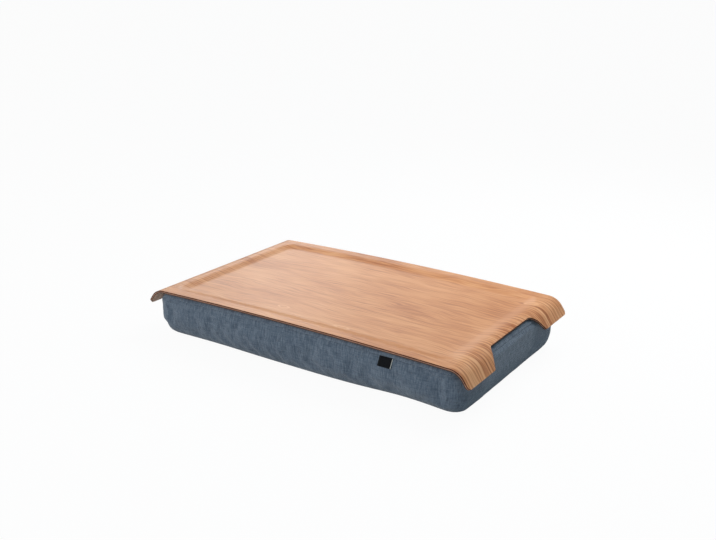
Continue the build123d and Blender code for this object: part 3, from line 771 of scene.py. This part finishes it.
# Zip
# A nylon zip in the back of the cover: two woven tapes sewn behind the opening, a row of teeth on each, a slider
# with its pull, and stops at both ends.
tape = Finish("zip_weave", Roughness=0.85)
x, y, z = tape.axes(tape.node("ShaderNodeTexCoord").output("Object"))
ribs = ((x + z) * 5200).math("SINE") * 0.5 + ((x - z) * 5200).math("SINE") * 0.5
tape.set("Base Color", tape.mixed(ribs * 0.5 + 0.5, (0.018, 0.022, 0.032), (0.05, 0.058, 0.075)))
tape.bump(ribs, 0.00015, 0.7)
nylon = Finish("nylon", Roughness=0.35)
x, y, z = nylon.axes(nylon.node("ShaderNodeTexCoord").output("Object"))
mottle = nylon.speckle(nylon.vector(x * 300, y * 900, z * 900))
nylon.set("Base Color", nylon.mixed(mottle, (0.02, 0.024, 0.032), (0.055, 0.062, 0.078)))
nylon.set("Roughness", 0.28 + mottle * 0.2)
zinc = Finish("painted_zinc", Metallic=0.6)
x, y, z = zinc.axes(zinc.node("ShaderNodeTexCoord").output("Object"))
wear = zinc.speckle(zinc.vector(x * 700, y * 700, z * 700), detail=4, roughness=0.65)
zinc.set("Base Color", zinc.mixed(zinc.ramp(wear, 0.6, 0.75), (0.05, 0.055, 0.062), (0.32, 0.32, 0.33)))
zinc.set("Roughness", 0.32 + wear * 0.25)
zinc.bump(wear, 0.00003, 0.4)

for place in ("upper", "lower"):
    low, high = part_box("zip_tape_" + place)
    centre, size = (low + high) / 2, high - low
    strip = bmesh.new()
    bmesh.ops.create_cube(strip, matrix=Matrix.Translation(centre) @ Matrix.Diagonal((*size, 1)))
    long_edges = [e for e in strip.edges if e.calc_length() > size.x / 2]
    bmesh.ops.bevel(strip, geom=long_edges, offset=0.2 * mm, affect="EDGES", segments=2, profile=0.5, material=-1)
    long_edges = [e for e in strip.edges if e.calc_length() > size.x / 2]
    bmesh.ops.subdivide_edges(strip, edges=long_edges, cuts=40)
    piece = placed("zip_tape_%s_weave" % place, strip, tape)
    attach(piece, "cushion")
    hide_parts("zip_tape_" + place)

    low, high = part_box("zip_row_" + place)
    side = 1 if place == "upper" else -1
    spine = 0.45 * mm
    spine_z = high.z - spine if side > 0 else low.z + spine
    row = bmesh.new()
    pitch = 2.5 * mm
    count = int((high.x - low.x) / pitch)
    depth = high.y - low.y
    along_spine = Matrix.Translation((0, (low.y + high.y) / 2, spine_z)) @ Matrix.Rotation(pi / 2, 4, "Y")
    bmesh.ops.create_cone(row, cap_ends=True, segments=10, radius1=spine, radius2=spine,
                          depth=high.x - low.x, matrix=along_spine)
    for number in range(count):
        at = Vector(((number - (count - 1) / 2) * pitch, (low.y + high.y) / 2, (low.z + high.z) / 2))
        tooth = bmesh.ops.create_cube(row, matrix=Matrix.Translation(at) @ Matrix.Diagonal(
            (1.5 * mm, depth, high.z - low.z, 1)))["verts"]
        inner_edges = {e for v in tooth for e in v.link_edges
                       if side * (e.verts[0].co.z + e.verts[1].co.z) / 2 < side * at.z - 1 * mm}
        bmesh.ops.bevel(row, geom=list(inner_edges), offset=0.4 * mm, affect="EDGES", segments=1, profile=0.5,
                        material=-1)
    piece = placed("zip_teeth_" + place, row, nylon, smooth=False)
    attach(piece, "cushion")
    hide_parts("zip_row_" + place)


def cast(name, node, body, rounding):
    """The node's own form with its edges rounded, as a die cast piece has them."""
    form = bmesh.new()
    form.from_mesh(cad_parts[node].data)
    bmesh.ops.remove_doubles(form, verts=form.verts, dist=1e-6)
    bmesh.ops.dissolve_limit(form, angle_limit=radians(2), verts=form.verts, edges=form.edges)
    sharp = [e for e in form.edges if e.is_manifold and e.calc_face_angle() > radians(35)]
    bmesh.ops.bevel(form, geom=sharp, offset=rounding, offset_type="OFFSET", affect="EDGES", segments=2, profile=0.5,
                    clamp_overlap=True, material=-1)
    piece = placed(name, form, zinc)
    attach(piece, body)
    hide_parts(node)


cast("slider", "zip_slider", "zip_slider", 0.12 * mm)
cast("pull", "zip_pull", "zip_pull", 0.1 * mm)
cast("top_stops", "zip_top_stops", "cushion", 0.12 * mm)
cast("bottom_stop", "zip_bottom_stop", "cushion", 0.12 * mm)

# Label
# A short black satin ribbon, folded in two, with its ends caught in the upper seam at the front.
low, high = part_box("label")
lean = radians(29)
root = Vector(((low.x + high.x) / 2, -half_deep + 0.4 * mm, high.z))
path = [root, root + Vector((0, -0.55 * mm, -1.7 * mm))]
down = Vector((0, -sin(lean), -cos(lean)))
outward = Vector((0, -cos(lean), sin(lean)))
path += [path[1] + down * 3.5 * mm, path[1] + down * 7 * mm, path[1] + down * 10 * mm]
tip = path[-1] + outward * 0.4 * mm
path += [tip + down * 0.28 * mm - outward * 0.28 * mm, tip + down * 0.4 * mm,
         tip + down * 0.28 * mm + outward * 0.28 * mm]
path += [p + outward * 0.8 * mm for p in reversed(path[1:5])] + [root + Vector((0, -0.9 * mm, 0))]
ribbon = bmesh.new()
width, strides = 17.5 * mm, 6
verts = [ribbon.verts.new(p - Vector((width / 2, 0, 0))) for p in path]
edges = [ribbon.edges.new(pair) for pair in zip(verts, verts[1:])]
for step in range(strides):
    made = bmesh.ops.extrude_edge_only(ribbon, edges=edges)["geom"]
    edges = [g for g in made if isinstance(g, bmesh.types.BMEdge)]
    edges = [e for e in edges if abs(e.verts[0].co.x - e.verts[1].co.x) < 1e-7]
    bmesh.ops.translate(ribbon, verts=list({v for e in edges for v in e.verts}), vec=(width / strides, 0, 0))
bmesh.ops.recalc_face_normals(ribbon, faces=ribbon.faces)
bmesh.ops.solidify(ribbon, geom=ribbon.faces[:], thickness=0.3 * mm)
bmesh.ops.recalc_face_normals(ribbon, faces=ribbon.faces)
satin = Finish("black_satin", Roughness=0.6, Specular_IOR_Level=0.15)
x, y, z = satin.axes(satin.node("ShaderNodeTexCoord").output("Object"))
ends = satin.ramp(x, root.x + 7.9 * mm, root.x + 8.2 * mm)
ribs = (z * 9000).math("SINE")
satin.set("Base Color", satin.mixed(ends, (0.004, 0.0045, 0.006), (0.7, 0.7, 0.66)))
satin.bump(ribs + satin.speckle(satin.vector(x * 1200, y * 200, z * 200)), 0.00008, 0.6)
label = placed("ribbon_label", ribbon, satin)
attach(label, "cushion")
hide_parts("label")
